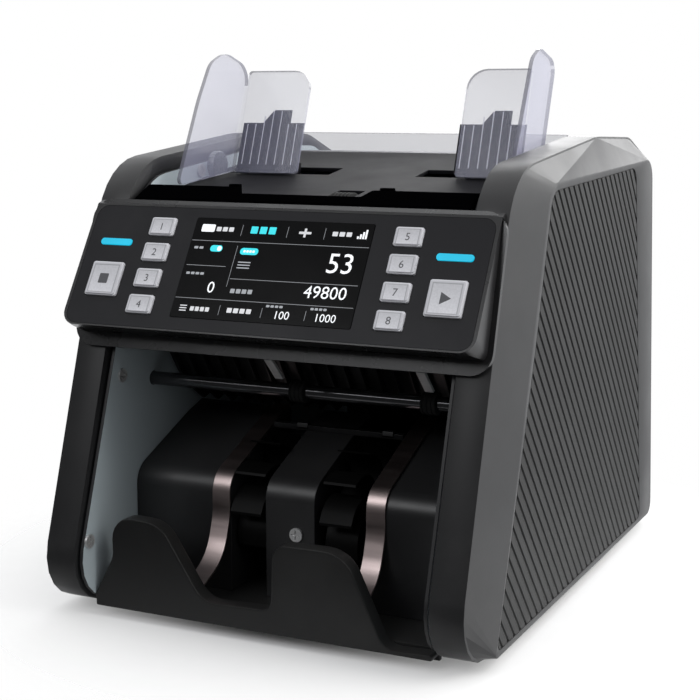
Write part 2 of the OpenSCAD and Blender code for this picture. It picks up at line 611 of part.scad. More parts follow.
module base_tray() color("#2b2b2e") seat() base_tray_shape();
module feet() color("#1c1c1c") seat() feet_shape();
module frame_left() color("#b9c0c8") seat() other() side_frame(concat(shafts, [[motor_y, motor_z]]));
module frame_right() color("#b9c0c8") seat() side_frame(shafts);
module screws() color("#c9c9c9") seat() {
    frame_screws([screw_spots[0]]);
    other() frame_screws(screw_spots);
    bed_screw();
}
module cover_left() color("#3a3b3e") seat() other() side_cover();
module cover_right() color("#3a3b3e") seat() side_cover();
module rib_panel_left() color("#303134") seat() other() rib_panel();
module rib_panel_right() color("#303134") seat() rib_panel();
module rear_cover() color("#3a3b3e") seat() rear_cover_shape();
module power_inlet() color("#1a1a1a") seat() power_inlet_shape();
module switch_body() color("#1a1a1a") seat() switch_body_shape();
module switch_rocker() color("#a02020") seat() rocker();
module fence() color("#4a4b4e") seat() fence_shape();
module bed_left() color("#242427") seat() bed_block(-path_w, chan_x[0]);
module bed_middle() color("#242427") seat() bed_block(mid_x[0], mid_x[1]);
module bed_right() color("#242427") seat() bed_block(chan_x[1], path_w);
module bed_strips() color("#d6c3bf") seat() {
    slab(chan_x[0] - strip_w, chan_x[0], rounded(strip_line));
    slab(chan_x[1], chan_x[1] + strip_w, rounded(strip_line));
}
module stacker_shaft() color("#c9c9c9") seat() {
    long_shaft(stack_y, stack_z);
    pulley(stack_y, stack_z, pulley_r);
}
module stacker_wheels() color("#17171a") seat() {
    wheel(-wheel_x);
    wheel(wheel_x);
}
module exit_guide() color("#2a2a2d") seat() exit_guide_shape();
module exit_shaft() color("#3c3c3f") seat() {
    long_shaft(exit_y, exit_z);
    pulley(exit_y, exit_z, back_r);
}
module exit_rollers() color("#202020") seat() for (x = roller_x) exit_roller(x);
module exit_arms() color("#c9c9c9") seat() for (x = arm_x) slab(x - 2.5, x + 2.5, arm_line);
module sensors() color("#e8e8e8") seat() sensor_bar();
module panel_housing() color("#6b6d72") seat() panel_housing_shape();
module panel_face() color("#23242b") seat() panel_face_shape();
module display_glass() color("#101218") seat() screen_glass();
module display_module() color("#8a8d90") seat() screen_back();
module keypad_boards() color("#1f5a3a") seat() {
    right_board();
    other() right_board();
}
module key_l1() color("#d5d6dc") seat() small_key(-1, 3);
module key_l2() color("#d5d6dc") seat() small_key(-1, 2);
module key_l3() color("#d5d6dc") seat() small_key(-1, 1);
module key_l4() color("#d5d6dc") seat() small_key(-1, 0);
module key_left_big() color("#d5d6dc") seat() large_key(-1);
module key_r1() color("#d5d6dc") seat() small_key(1, 3);
module key_r2() color("#d5d6dc") seat() small_key(1, 2);
module key_r3() color("#d5d6dc") seat() small_key(1, 1);
module key_r4() color("#d5d6dc") seat() small_key(1, 0);
module key_right_big() color("#d5d6dc") seat() large_key(1);
module light_bars() color("#00d5ee") seat() {
    light_bar(-1);
    light_bar(1);
}
module hopper_front() color("#151517") seat() hopper_front_shape();
module hopper_floor() color("#4b4c50") seat() hopper_floor_shape();
module top_cover() color("#3a3b3e") seat() slab(-frame_in, frame_in, top_line);
module rear_plate() color("#d8d6ea", 0.5) seat() clear_strip();
module pick_shaft() color("#c9c9c9") seat() {
    long_shaft(pick_y, pick_z);
    pulley(pick_y, pick_z, pulley_r);
}
module pick_roller() color("#202020") seat() feed_roller();
module guide_rail() color("#c9c9c9") seat() {
    rod(-frame_in, frame_in, rail_y, rail_z, rail_r);
    rod(-frame_in, -frame_in + boss_len, boss_y, boss_z, boss_r);
}
module guide_left() color("#dcdaf0", 0.5) seat() left_clear();
module guide_right() color("#dcdaf0", 0.5) seat() right_clear();
module bracket_left() color("#1c1c1f") seat() translate([brace_lx, 0, 0]) bracket();
module bracket_right() color("#1c1c1f") seat() translate([brace_rx, 0, 0]) bracket();
module motor() color("#8f9094") seat() motor_shape();
module motor_shaft() color("#c9c9c9") seat() {
    rod(pulley_x - 1, -frame_in + 11, motor_y, motor_z, shaft_r);
    pulley(motor_y, motor_z, motor_pulley_r);
}
module drive_belt() color("#1a1a1a") seat() belt();
module main_board() color("#1f5a3a") seat() main_board_shape();
module power_supply() color("#b5b8bb") seat() power_supply_shape();

base_tray();
feet();
frame_left();
frame_right();
screws();
cover_left();
cover_right();
rib_panel_left();
rib_panel_right();
rear_cover();
power_inlet();
switch_body();
switch_rocker();
fence();
bed_left();
bed_middle();
bed_right();
bed_strips();
stacker_shaft();
stacker_wheels();
exit_guide();
exit_shaft();
exit_rollers();
exit_arms();
sensors();
panel_housing();
panel_face();
display_glass();
display_module();
keypad_boards();
key_l1();
key_l2();
key_l3();
key_l4();
key_left_big();
key_r1();
key_r2();
key_r3();
key_r4();
key_right_big();
light_bars();
hopper_front();
hopper_floor();
top_cover();
rear_plate();
pick_shaft();
pick_roller();
guide_rail();
guide_left();
guide_right();
bracket_left();
bracket_right();
motor();
motor_shaft();
drive_belt();
main_board();
power_supply();
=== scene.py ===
# %% [markdown]
# # A desktop banknote counter
# This lesson dresses it. Moulded edges get their small radii, keys get their marks, the display gets
# its read-out, and every piece gets a material that is built from nodes.

# %% Load the construction
import json
from math import pi, radians
import bmesh
import bpy
from mathutils import Matrix, Vector


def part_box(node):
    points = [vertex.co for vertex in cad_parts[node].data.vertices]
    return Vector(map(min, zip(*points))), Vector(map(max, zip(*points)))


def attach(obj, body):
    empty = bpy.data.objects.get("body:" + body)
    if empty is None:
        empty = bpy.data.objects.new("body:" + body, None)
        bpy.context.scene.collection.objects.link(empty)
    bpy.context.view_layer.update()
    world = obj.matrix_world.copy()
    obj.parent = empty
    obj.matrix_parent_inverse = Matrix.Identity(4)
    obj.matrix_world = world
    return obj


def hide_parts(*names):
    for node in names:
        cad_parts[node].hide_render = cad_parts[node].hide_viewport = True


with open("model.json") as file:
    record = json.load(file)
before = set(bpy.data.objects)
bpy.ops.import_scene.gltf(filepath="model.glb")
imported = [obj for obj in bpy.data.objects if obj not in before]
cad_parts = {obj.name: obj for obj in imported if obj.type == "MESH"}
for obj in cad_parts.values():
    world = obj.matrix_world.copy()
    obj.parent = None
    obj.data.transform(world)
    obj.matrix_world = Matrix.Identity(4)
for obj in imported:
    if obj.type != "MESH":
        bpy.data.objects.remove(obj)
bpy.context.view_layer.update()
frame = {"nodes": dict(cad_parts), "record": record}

MM = 0.001
nodes = frame["nodes"]
bodies = frame["record"]["behaviour"]["bodies"]
body_of = {node: body for body, members in bodies.items() for node in members}
slot_of = {part["node"]: part["material_slot"] for part in frame["record"]["subparts"]}

# %% [markdown]
# ## The control face as a drawing board
# Keys, display and lights all sit on one sloping face. A matrix turns a place on that face (across, up
# the slope, out of it, in millimetres from the middle of the display) into a place in the room. The slope
# is read from the direction in which a key moves, and each key's own place from its box.

# %% Face coordinates
GLASS_MID_HEIGHT = -0.65         # the middle of the glass lies this far under the face
KEY_TOP, SCREEN_TOP = 1.8, 0.3   # heights above the face
SCREEN_W, SCREEN_H = 110.0, 60.5


def box_of(node):
    """The low and the high corner of a node, in metres."""
    low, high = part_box(node)
    return Vector(low), Vector(high)


press = next(j for j in frame["record"]["behaviour"]["joints"] if j["name"] == "press_l1")
OUT = -Vector(press["axis"]).normalized()
UP_SLOPE = OUT.cross(Vector((1, 0, 0)))
glass_low, glass_high = box_of("display_glass")
FACE = Matrix.Translation((glass_low + glass_high) / 2 - OUT * GLASS_MID_HEIGHT * MM) @ Matrix((
    (MM, 0, 0, 0),
    (0, MM * UP_SLOPE.y, MM * OUT.y, 0),
    (0, MM * UP_SLOPE.z, MM * OUT.z, 0),
    (0, 0, 0, 1)))


def on_face(node):
    """Where the middle of a node lies on the face: across and up the slope, in millimetres."""
    low, high = box_of(node)
    place_on_face = FACE.inverted() @ ((low + high) / 2)
    return place_on_face.x, place_on_face.y


print("key 1 sits at", tuple(round(v, 1) for v in on_face("key_l1")))
print("the face leans", round(90 - OUT.angle(Vector((0, 0, 1))) * 180 / pi, 1), "degrees from upright")


# %% [markdown]
# ## Softening moulded edges
# No moulded edge is knife sharp, and the thin highlight along it is what makes a piece look real. The
# construction's meshes are loose triangles, so a copy is welded, its flat areas are joined and its sharp
# edges get a small round. Gentle angles between the flats of a curve are shaded smooth; sharp ones stay
# crisp.

# %% Helpers that make pieces
SHARP = 28                       # degrees between two faces, from which their edge counts as sharp
WELD, FLAT = 2e-6, 0.5           # metres between doubles, and degrees within which faces are one flat


def place(mesh, name, body, material):
    """A finished mesh becomes a piece that rides on a body."""
    piece = bpy.data.objects.new(name, mesh)
    bpy.context.scene.collection.objects.link(piece)
    mesh.materials.clear()
    mesh.materials.append(material)
    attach(piece, body)
    return piece


def mesh_of(bm, name):
    """Turns a bmesh into a mesh and frees it."""
    mesh = bpy.data.meshes.new(name)
    bm.to_mesh(mesh)
    bm.free()
    return mesh


def rounded(bm, edges, width, segments=2):
    bmesh.ops.bevel(bm, geom=edges, offset=width, offset_type="OFFSET", affect="EDGES", segments=segments,
                    profile=0.5, material=-1, clamp_overlap=True)


def shade_by_angle(bm, limit=SHARP):
    for face in bm.faces:
        face.smooth = True
    for edge in bm.edges:
        edge.smooth = edge.is_manifold and edge.calc_face_angle(pi) < radians(limit)


def softened(node, width, material):
    """A welded copy of a node with rounded sharp edges stands for that node."""
    bm = bmesh.new()
    bm.from_mesh(nodes[node].data)
    bmesh.ops.remove_doubles(bm, verts=bm.verts, dist=WELD)
    bmesh.ops.dissolve_limit(bm, angle_limit=radians(FLAT), verts=bm.verts, edges=bm.edges)
    bmesh.ops.recalc_face_normals(bm, faces=bm.faces)
    rounded(bm, [e for e in bm.edges if e.is_manifold and e.calc_face_angle(0) > radians(SHARP)], width * MM)
    shade_by_angle(bm)
    piece = place(mesh_of(bm, node + "_soft"), node + "_moulding", body_of[node], material)
    if not node.startswith("cover"):
        flats = piece.modifiers.new("keep the flats flat", "WEIGHTED_NORMAL")
        flats.keep_sharp, flats.weight = True, 100
    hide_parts(node)
    return piece


# %% [markdown]
# ## Materials from shared effects
# A real surface is never one flat colour. Four small effects are built once, as node groups, and each
# material gives them its own values: a moulded grain for plastics, a drawn grain for metals, an orange
# peel for paint, and a haze of dust and handling that changes the gloss. The groups give colours,
# roughness and heights; the shader stays outside.

# %% Node helpers
class Sheet:
    """A thin wrapper that keeps a node tree readable."""

    def __init__(self, tree):
        self.tree = tree

    def add(self, kind, **settings):
        inputs = settings.pop("inputs", {})
        node = self.tree.nodes.new("ShaderNode" + kind if not kind.startswith("NodeGroup") else kind)
        for key, value in settings.items():
            setattr(node, key, value)
        for key, value in inputs.items():
            self.feed(node.inputs[key], value)
        return node

    def feed(self, target, value):
        """A socket is linked to the target; a plain value is written on it."""
        if isinstance(value, bpy.types.NodeSocket):
            self.tree.links.new(value, target)
        else:
            target.default_value = value

    def math(self, operation, a, b=0.0, c=0.0, clamp=False):
        return self.add("Math", operation=operation, use_clamp=clamp, inputs={0: a, 1: b, 2: c}).outputs[0]

    def noise(self, where, scale, detail=3.0, rough=0.55):
        return self.add("TexNoise", inputs={"Vector": where, "Scale": scale, "Detail": detail,
                                            "Roughness": rough}).outputs["Fac"]

    def spread(self, value, low, high, to_low=0.0, to_high=1.0):
        return self.add("MapRange", inputs={"Value": value, "From Min": low, "From Max": high,
                                            "To Min": to_low, "To Max": to_high}).outputs["Result"]

    def blend(self, factor, a, b):
        return self.add("Mix", data_type="RGBA", inputs={"Factor": factor, 6: a, 7: b}).outputs[2]

    def scaled(self, tone, amount):
        return self.add("VectorMath", operation="SCALE", inputs={0: tone, "Scale": amount}).outputs[0]

    def wobble(self, around, noise, amount):
        """A value that swings about another one as a noise does about its middle."""
        return self.math("ADD", around, self.math("MULTIPLY", self.math("SUBTRACT", noise, 0.5), amount),
                         clamp=True)


def new_group(name, ins, outs):
    """A node group with named sockets: the group, its sheet, its inputs and its output node."""
    group = bpy.data.node_groups.new(name, "ShaderNodeTree")
    for label, kind, default in ins:
        socket = group.interface.new_socket(name=label, in_out="INPUT", socket_type="NodeSocket" + kind)
        if default is not None:
            socket.default_value = default
    for label, kind in outs:
        group.interface.new_socket(name=label, in_out="OUTPUT", socket_type="NodeSocket" + kind)
    sheet = Sheet(group)
    start = sheet.add("NodeGroupInput").outputs
    end = group.nodes.new("NodeGroupOutput")
    print("group:", name)
    return group, sheet, start, end


# %% Moulded grain, for plastics and rubber
SURFACE_INS = [("Place", "Vector", None), ("Tone", "Color", (0.1, 0.1, 0.1, 1)), ("Gloss", "Float", 0.5),
               ("Cell", "Float", 1500.0), ("Variation", "Float", 0.15)]
SURFACE_OUTS = [("Tone", "Color"), ("Roughness", "Float"), ("Height", "Float")]

grain, g, start, end = new_group("moulded_grain", SURFACE_INS, SURFACE_OUTS)
fine = g.add("TexVoronoi", feature="SMOOTH_F1", inputs={"Vector": start["Place"], "Scale": start["Cell"],
                                                       "Smoothness": 0.4}).outputs["Distance"]
flow = g.noise(start["Place"], 26.0, 4.0)
speck = g.noise(start["Place"], 900.0, 2.0)
tint = g.math("MULTIPLY_ADD", g.math("SUBTRACT", flow, 0.5), start["Variation"], 1.0)
speckle = g.spread(speck, 0.3, 0.7, 0.94, 1.06)
g.feed(end.inputs["Tone"], g.scaled(start["Tone"], g.math("MULTIPLY", tint, speckle)))
g.feed(end.inputs["Roughness"], g.wobble(start["Gloss"], flow, 0.22))
g.feed(end.inputs["Height"], g.math("ADD", fine, g.math("MULTIPLY", speck, 0.35)))

# %% Drawn grain, for bare metal
drawn, g, start, end = new_group("drawn_grain", SURFACE_INS, SURFACE_OUTS)
along = g.add("Mapping", inputs={"Vector": start["Place"], "Scale": (0.04, 1.0, 1.0)}).outputs["Vector"]
lines = g.noise(along, start["Cell"], 4.0, 0.7)
stain = g.math("SUBTRACT", g.noise(start["Place"], 40.0, 3.0), 0.5)
shade = g.math("ADD", g.spread(lines, 0.3, 0.7, 0.90, 1.08), g.math("MULTIPLY", stain, start["Variation"]))
g.feed(end.inputs["Tone"], g.scaled(start["Tone"], shade))
g.feed(end.inputs["Roughness"], g.wobble(start["Gloss"], lines, 0.3))
g.feed(end.inputs["Height"], lines)

# %% Orange peel, for paint
peel, g, start, end = new_group("orange_peel", SURFACE_INS, SURFACE_OUTS)
wash = g.noise(start["Place"], 9.0, 3.0)
shade = g.math("MULTIPLY_ADD", g.math("SUBTRACT", wash, 0.5), start["Variation"], 1.0)
g.feed(end.inputs["Tone"], g.scaled(start["Tone"], shade))
g.feed(end.inputs["Roughness"], g.wobble(start["Gloss"], wash, 0.2))
g.feed(end.inputs["Height"], g.noise(start["Place"], start["Cell"], 2.0, 0.4))

# %% Handling haze, laid over any of them
DUST_ON_TOP, SMUDGES, SMUDGE_DULLS = 0.05, 0.05, 0.12
HAZE_INS = [("Place", "Vector", None), ("Tone", "Color", (0.1, 0.1, 0.1, 1)), ("Roughness", "Float", 0.4),
            ("Amount", "Float", 0.3), ("Dust", "Color", (0.42, 0.41, 0.40, 1))]
haze_group, g, start, end = new_group("handling_haze", HAZE_INS, [("Tone", "Color"), ("Roughness", "Float")])
patches = g.spread(g.noise(start["Place"], 17.0, 6.0, 0.65), 0.5, 0.72)
facing_up = g.add("SeparateXYZ", inputs={0: g.add("NewGeometry").outputs["Normal"]}).outputs["Z"]
settled = g.math("MULTIPLY", g.spread(facing_up, 0.2, 1.0), DUST_ON_TOP)
dirt = g.math("ADD", settled, g.math("MULTIPLY", patches, SMUDGES))
film = g.math("MULTIPLY", dirt, start["Amount"], clamp=True)
dulling = g.math("MULTIPLY", start["Amount"], SMUDGE_DULLS)
g.feed(end.inputs["Tone"], g.blend(film, start["Tone"], start["Dust"]))
g.feed(end.inputs["Roughness"], g.math("MULTIPLY_ADD", patches, dulling, start["Roughness"], clamp=True))


# %% [markdown]
# ## One recipe, many finishes
# Every opaque finish is the same short chain: place on the object, a surface effect, the handling haze,
# the shader. Only the numbers differ, so each finish below is one call that can be read like a paint
# card: its name, the surface effect, the tone, the gloss, the fineness of the cells, how much the tone
# varies, how deep the texture is in millimetres, and how much it was handled.

# %% The recipe
FINISHES = {}
BUMP, COAT_ROUGH = 0.5, 0.12
FLICKER = 0.86                   # a glow falls to this share in places


def new_finish(name):
    """An empty material under its name: its tree, shader, sheet and place on the object."""
    material = bpy.data.materials.new(name)
    material.use_nodes = True
    FINISHES[name] = material
    tree = material.node_tree
    sheet = Sheet(tree)
    return material, tree.nodes["Principled BSDF"], sheet, sheet.add("TexCoord").outputs["Object"]


def surfaced(s, group, where, tone, gloss, cell, variation):
    return s.add("Group", node_tree=group, inputs={"Place": where, "Tone": (*tone, 1), "Gloss": gloss,
                                                  "Cell": cell, "Variation": variation}).outputs


def bumped(s, shader, height, depth, strength=BUMP):
    bump = s.add("Bump", inputs={"Strength": strength, "Distance": depth * MM, "Height": height})
    s.feed(shader.inputs["Normal"], bump.outputs["Normal"])


def finish(name, group, tone, gloss, cell, variation, depth, haze, metal=0.0, coat=0.0, specular=0.5,
           glow=None):
    material, shader, s, where = new_finish(name)
    surface = surfaced(s, group, where, tone, gloss, cell, variation)
    worn = s.add("Group", node_tree=haze_group, inputs={"Place": where, "Tone": surface["Tone"],
                                                        "Roughness": surface["Roughness"],
                                                        "Amount": haze}).outputs
    s.feed(shader.inputs["Base Color"], worn["Tone"])
    s.feed(shader.inputs["Roughness"], worn["Roughness"])
    bumped(s, shader, surface["Height"], depth)
    shader.inputs["Metallic"].default_value = metal
    shader.inputs["Coat Weight"].default_value = coat
    shader.inputs["Coat Roughness"].default_value = COAT_ROUGH
    shader.inputs["Specular IOR Level"].default_value = specular
    if glow:
        colour, strength = glow
        dimmer = [FLICKER * c for c in colour]
        patchy = s.spread(s.noise(where, 60.0, 2.0), 0.3, 0.7)
        s.feed(shader.inputs["Emission Color"], s.blend(patchy, (*dimmer, 1), (*colour, 1)))
        shader.inputs["Emission Strength"].default_value = strength
    return material


# %% Paint card: plastics
finish("cover_plastic", grain, (0.018, 0.018, 0.019), 0.42, 1500, 0.15, 0.03, 0.5)
finish("housing_plastic", grain, (0.018, 0.018, 0.019), 0.28, 1600, 0.15, 0.02, 0.4)
finish("face_plastic", grain, (0.004, 0.004, 0.0065), 0.40, 2000, 0.15, 0.012, 0.3, specular=0.25)
finish("fence_plastic", grain, (0.011, 0.011, 0.011), 0.40, 1500, 0.15, 0.02, 0.4, specular=0.4)
finish("bed_plastic", grain, (0.020, 0.020, 0.021), 0.38, 1500, 0.2, 0.02, 0.3)
finish("path_plastic", grain, (0.006, 0.006, 0.0065), 0.40, 1500, 0.2, 0.02, 0.3)
finish("wheel_plastic", grain, (0.002, 0.002, 0.002), 0.50, 1200, 0.2, 0.02, 0.1, specular=0.12)
finish("base_plastic", grain, (0.008, 0.008, 0.008), 0.50, 1200, 0.2, 0.03, 0.4)
finish("black_plastic", grain, (0.0008, 0.0008, 0.001), 0.7, 1500, 0.2, 0.01, 0.0, specular=0.0)
finish("floor_plastic", grain, (0.005, 0.005, 0.007), 0.62, 1300, 0.15, 0.03, 0.3, specular=0.1)
finish("rocker_plastic", grain, (0.40, 0.020, 0.016), 0.25, 2200, 0.1, 0.008, 0.3)
finish("sensor_plastic", grain, (0.008, 0.008, 0.009), 0.30, 1500, 0.2, 0.01, 0.2)

# %% Paint card: rubber, metal, boards and lights
finish("foot_rubber", grain, (0.016, 0.016, 0.016), 0.82, 900, 0.3, 0.05, 1.2, specular=0.3)
finish("roller_rubber", grain, (0.008, 0.008, 0.008), 0.78, 900, 0.3, 0.05, 0.5, specular=0.3)
finish("belt_rubber", grain, (0.020, 0.020, 0.020), 0.80, 800, 0.3, 0.05, 0.8, specular=0.3)
finish("motor_metal", peel, (0.10, 0.10, 0.105), 0.38, 500, 0.1, 0.02, 0.5, metal=0.3)
# painted reflection: the pink cast of this steel tone stands in for a pink reflection on the strips
finish("strip_steel", drawn, (0.42, 0.345, 0.335), 0.36, 160, 0.06, 0.002, 0.2, metal=1.0)
finish("shaft_steel", drawn, (0.28, 0.29, 0.30), 0.30, 1100, 0.10, 0.002, 0.3, metal=1.0)
finish("black_steel", drawn, (0.10, 0.10, 0.105), 0.14, 900, 0.05, 0.001, 0.1, metal=0.8)
finish("screw_metal", drawn, (0.62, 0.62, 0.62), 0.36, 1300, 0.15, 0.002, 0.3, metal=0.6)
finish("module_metal", drawn, (0.60, 0.61, 0.63), 0.42, 700, 0.10, 0.004, 0.5, metal=1.0)
finish("board_green", peel, (0.018, 0.115, 0.055), 0.36, 260, 0.5, 0.02, 0.4, coat=0.3)
finish("light_lens", grain, (0.01, 0.16, 0.22), 0.32, 900, 0.1, 0.006, 0.1, glow=((0.0, 0.50, 0.74), 0.95))
finish("screen_glass", grain, (0.0012, 0.0012, 0.0016), 0.22, 2600, 0.1, 0.001, 0.05, specular=0.12)
print(len(FINISHES), "plain finishes")


# %% [markdown]
# ## Clear plastic
# The note guides are thin clear polycarbonate with a trace of lavender: you look through the sheet, and its
# rim, which gathers the light and looks darker, is given a painted shade. A rim mask, written on the mesh
# further down, and the angle of view set how much is seen.

# %% Clear sheet
SHEET_PALE, SHEET_DEEP, SHEET_RIM_SHADE = (0.44, 0.44, 0.58, 1), (0.38, 0.39, 0.52, 1), (0.16, 0.16, 0.20, 1)
SEEN_FLAT, SEEN_EDGE = 0.24, 0.66    # how much of the sheet is seen straight on, and along it or at its rim
material, shader, s, where = new_finish("clear_plastic")
cloud = s.noise(where, 22.0, 5.0, 0.6)
rim = s.add("Attribute", attribute_name="rim").outputs["Fac"]
angle = s.add("LayerWeight", inputs={"Blend": 0.35}).outputs["Facing"]
sheet_tint = s.blend(s.spread(cloud, 0.35, 0.7), SHEET_PALE, SHEET_DEEP)
by_angle = s.spread(angle, 0.25, 1.0, SEEN_FLAT, SEEN_EDGE)
# painted shade: the rim of the sheet takes a dark tone
s.feed(shader.inputs["Base Color"], s.blend(rim, sheet_tint, SHEET_RIM_SHADE))
s.feed(shader.inputs["Alpha"], s.math("MAXIMUM", by_angle, s.math("MULTIPLY", rim, SEEN_EDGE)))
s.feed(shader.inputs["Roughness"], s.spread(cloud, 0.45, 0.75, 0.08, 0.16))
shader.inputs["Metallic"].default_value = 0.0
shader.inputs["Transmission Weight"].default_value = 0.0


# %% [markdown]
# ## Finishes with painted light
# Some pieces get painted light in one place: painted shade on the cut edges of a painted frame, painted
# light on the floors of the grooves between ribs, which keeps them lighter than their shade, and painted
# highlights in the grooves of a bracket. A mask on the mesh says where, and the shader blends the two.

# %% Painted light by a mask
def two_tone(name, group, tone, marked, mask, gloss, cell, specular=0.5):
    """A finish whose second tone, a painted shade or a painted light, lies where a mask on the mesh says so."""
    material, shader, s, where = new_finish(name)
    chosen = s.add("Attribute", attribute_name=mask).outputs["Fac"]
    surface = surfaced(s, group, where, tone, gloss, cell, 0.12)
    s.feed(shader.inputs["Base Color"], s.blend(chosen, surface["Tone"], (*marked, 1)))
    s.feed(shader.inputs["Roughness"], surface["Roughness"])
    bumped(s, shader, surface["Height"], 0.02)
    shader.inputs["Specular IOR Level"].default_value = specular


# painted shade: the cut edges of the frames are painted dark
two_tone("frame_paint", peel, (0.50, 0.57, 0.60), (0.02, 0.02, 0.022), "rim", 0.42, 420.0)
# painted light: the floors of the grooves between the ribs are painted lighter than the ribs' faces
two_tone("rib_plastic", grain, (0.025, 0.025, 0.025), (0.11, 0.11, 0.11), "groove", 0.58, 1500.0, 0.28)
# painted highlight: the faces in the bracket's grooves are painted pale, as fine bright lines
two_tone("bracket_plastic", grain, (0.0025, 0.0025, 0.004), (0.10, 0.10, 0.12), "groove", 0.42, 1500.0, 0.12)

# %% [markdown]
# ## Key caps
# A key cap is a clear moulding over a pale label, so its border differs from its middle and a fine dark
# line runs between them. The cap's own UV map, from -1 to 1 across it, tells the two apart, and also sets
# a painted shade: the label is painted a little darker at the top of the cap than at its foot, as a real
# one shades under a lamp.

# %% Key cap
LABEL, BORDER, OUTLINE = (0.74, 0.74, 0.78), (0.68, 0.68, 0.72, 1), (0.14, 0.14, 0.16, 1)
LABEL_END, BORDER_START = 0.80, 0.90     # shares of the cap's half width
material, shader, s, where = new_finish("key_plastic")
cap = s.add("SeparateXYZ", inputs={0: s.add("UVMap", uv_map="cap").outputs["UV"]}).outputs
far = s.math("MAXIMUM", s.math("ABSOLUTE", cap["X"]), s.math("ABSOLUTE", cap["Y"]))
surface = surfaced(s, grain, where, LABEL, 0.3, 2400.0, 0.1)
# painted shade: the label is lighter at the foot of the cap and darker at its top
label = s.scaled(surface["Tone"], s.spread(cap["Y"], -1, 1, 1.18, 0.86))
line = s.math("MULTIPLY", s.spread(far, LABEL_END, 0.84), s.spread(far, BORDER_START, 0.86))
whole_cap = s.blend(s.spread(far, 0.84, BORDER_START), label, BORDER)
s.feed(shader.inputs["Base Color"], s.blend(s.math("MULTIPLY", line, 0.5), whole_cap, OUTLINE))
s.feed(shader.inputs["Roughness"], surface["Roughness"])
bumped(s, shader, s.spread(far, LABEL_END, BORDER_START), 0.15, 0.4)
shader.inputs["Coat Weight"].default_value = 0.3
print("finishes still missing:", sorted(set(slot_of.values()) - set(FINISHES)))

# %% [markdown]
# ## Dressing the construction
# First every node takes its finish. Then the pieces whose edges are seen are replaced by softened copies,
# with a radius that suits how each is made: wide on the big covers, small on sheet metal and keys.

# %% Finish on every node
for name, node in nodes.items():
    for holder in node.material_slots:
        holder.material = FINISHES[slot_of[name]]
    if not node.material_slots:
        node.data.materials.append(FINISHES[slot_of[name]])
print("dressed", len(nodes), "nodes")

# %% Softened copies
EDGE_RADII = {
    "cover_left": 1.3, "cover_right": 1.3, "rib_panel_left": 0.7, "rib_panel_right": 0.7, "rear_cover": 0.4,
    "frame_left": 0.3, "frame_right": 0.3, "fence": 1.3, "bed_left": 1.0, "bed_middle": 1.0, "bed_right": 1.0,
    "bed_strips": 0.3, "panel_housing": 1.6, "panel_face": 0.3, "hopper_front": 0.6, "hopper_floor": 0.5,
    "top_cover": 0.5, "rear_plate": 0.3, "guide_left": 0.35, "guide_right": 0.35, "bracket_left": 0.25,
    "bracket_right": 0.25, "exit_guide": 0.3, "exit_arms": 0.3, "sensors": 0.2, "stacker_wheels": 0.3,
    "power_inlet": 0.3, "switch_body": 0.3, "switch_rocker": 0.4, "base_tray": 0.5, "display_glass": 0.15,
    "light_bars": 0.25, "screws": 0.25, "guide_rail": 0.4, "stacker_shaft": 0.3, "exit_shaft": 0.3,
    "pick_shaft": 0.3, "motor": 0.6, "motor_shaft": 0.3, "power_supply": 0.4, "main_board": 0.2,
    "display_module": 0.3, "keypad_boards": 0.15,
}
KEY_RADIUS = 0.45
KEYS = [name for name in nodes if name.startswith("key_")]
EDGE_RADII.update({key: KEY_RADIUS for key in KEYS})
dressed = {name: softened(name, radius, FINISHES[slot_of[name]]) for name, radius in EDGE_RADII.items()}
print("softened", len(dressed), "pieces")

# %% [markdown]
# ## Bracket fins, with painted highlights
# Each bracket is a comb of thin fins, and a fine bright line along their front is a painted highlight. A
# line is a thin pale prism with a faint glow, laid on the leaning front of the bracket, in one of its
# grooves. The bracket itself is made a hair narrower, so its foot just clears the end of its slot in the
# hopper floor.

# %% Fins
FIN_PITCH, FIN_W, FIN_DEEP, FIN_ROUND, FIN_PROUD = 5.8, 0.6, 0.5, 0.12, 0.05
GROOVE_W = 0.8
FIN_LOW, FIN_TOP, FIN_STEP_TOP, FIN_TALL_TOP = 252.0, 277.0, 282.0, 285.0     # heights of the fin ends
FRONT_Y, FRONT_Z, FRONT_LEAN = -25.58, 241.0, 0.36       # a point of the leaning front, and its lean
BRACKET_MIDDLES = {"left": -68.0, "right": 79.0}
FOOT_CLEAR = 0.9985
# painted highlight: the lines' finish is pale and glows, though they are no lamp
FIN_HIGHLIGHT_GLOW = finish("fin_painted_highlight", grain, (0.62, 0.62, 0.68), 0.3, 1500, 0.1, 0.005, 0.2,
                     glow=((0.36, 0.36, 0.40), 1.0))
TALLER_FINS = {-1: FIN_STEP_TOP, 0: FIN_TALL_TOP, 1: FIN_TALL_TOP}


def narrowed(mesh, middle):
    for v in mesh.vertices:
        v.co.x = middle * MM + (v.co.x - middle * MM) * FOOT_CLEAR


def add_fin(bm, left, top):
    """One upright prism, leaned back with the front of the bracket."""
    made = bmesh.ops.create_cube(bm, size=1.0)["verts"]
    bmesh.ops.scale(bm, vec=(FIN_W, FIN_DEEP, top - FIN_LOW), verts=made)
    bmesh.ops.translate(bm, vec=(left + FIN_W / 2, FIN_DEEP / 2, (top + FIN_LOW) / 2), verts=made)
    for v in made:
        v.co.y += FRONT_Y + FRONT_LEAN * (v.co.z - FRONT_Z) + FIN_PROUD


